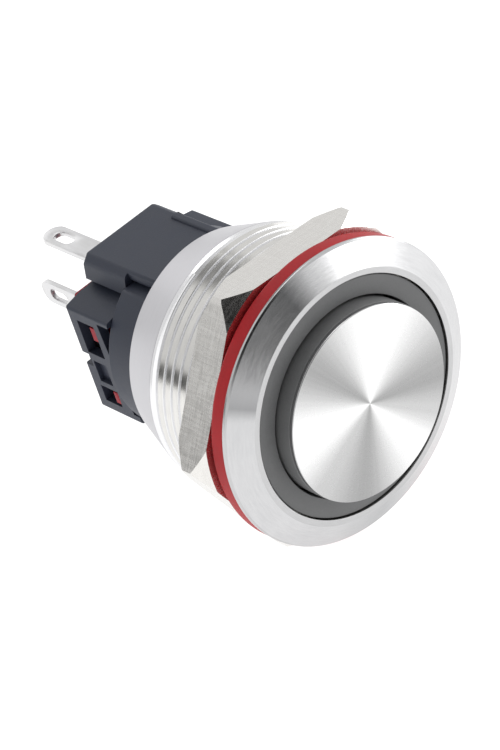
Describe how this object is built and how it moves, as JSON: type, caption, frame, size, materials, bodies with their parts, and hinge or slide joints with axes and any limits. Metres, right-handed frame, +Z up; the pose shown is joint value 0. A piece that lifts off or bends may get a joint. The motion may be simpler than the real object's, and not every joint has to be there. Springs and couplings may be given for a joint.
{
  "type": "panel push button",
  "caption": "Metal panel push button with a bevelled round head, raised spun cap, threaded barrel, red gasket, hexagonal nut and a dark contact block with solder lugs.",
  "frame": {"origin": "on the button's axis, in the plane of the head's rear face, which meets the panel", "axes": "+Y along the button's axis, from the panel seat back towards the lugs; the cap faces -Y; +Z is up"},
  "size_m": [0.0308, 0.0384, 0.0282],
  "materials": {
    "machined_steel": "satin machined stainless steel",
    "spun_steel": "spun in fine circles, bright",
    "dark_plastic": "matt dark grey",
    "black_rubber": "matt black",
    "spring_steel": "bright wire",
    "red_silicone": "satin red",
    "nickel": "nickel plated, fine brushed",
    "slate_plastic": "satin slate grey",
    "red_plastic": "satin red",
    "contact_brass": "bright",
    "tinned_brass": "tin plated, soft sheen",
    "silver": "bright silver",
    "screw_steel": "zinc plated"
  },
  "bodies": {
    "body": {"barrel": "machined_steel", "guide_ring": "dark_plastic", "seal_ring": "black_rubber", "return_spring": "spring_steel", "mounting_base": "slate_plastic", "contact_housing": "slate_plastic", "upper_terminal": "tinned_brass", "lower_terminal": "tinned_brass", "left_terminal": "tinned_brass", "right_terminal": "tinned_brass", "upper_rivet": "silver", "lower_rivet": "silver", "left_rivet": "silver", "right_rivet": "silver", "left_insulator": "red_plastic", "right_insulator": "red_plastic", "upper_screw": "screw_steel", "lower_screw": "screw_steel"},
    "button": {"button_cap": "spun_steel", "cap_carrier": "dark_plastic", "stem_clip": "spring_steel", "plunger": "red_plastic", "open_bridge": "contact_brass", "closed_bridge": "contact_brass", "open_contact_spring": "spring_steel", "closed_contact_spring": "spring_steel"},
    "gasket": {"panel_gasket": "red_silicone"},
    "nut": {"panel_nut": "nickel"}
  },
  "joints": [
    {"name": "button_press", "type": "slide", "parent": "body", "child": "button", "axis": [0, 1, 0], "range_m": [0, 0.0016], "stiffness_N_per_m": 800, "springref_m": -0.003, "deforming": ["return_spring"]},
    {"name": "gasket_slide", "type": "slide", "parent": "body", "child": "gasket", "axis": [0, 1, 0], "range_m": [0, 0.005]},
    {"name": "nut_turn", "type": "hinge", "parent": "gasket", "child": "nut", "pos_m": [0, 0, 0], "axis": [0, 1, 0], "range_deg": [0, 1800]}
  ],
  "couplings": [
    {"joint": "gasket_slide", "follows": "nut_turn", "m_per_rad": 0.00015915}
  ]
}
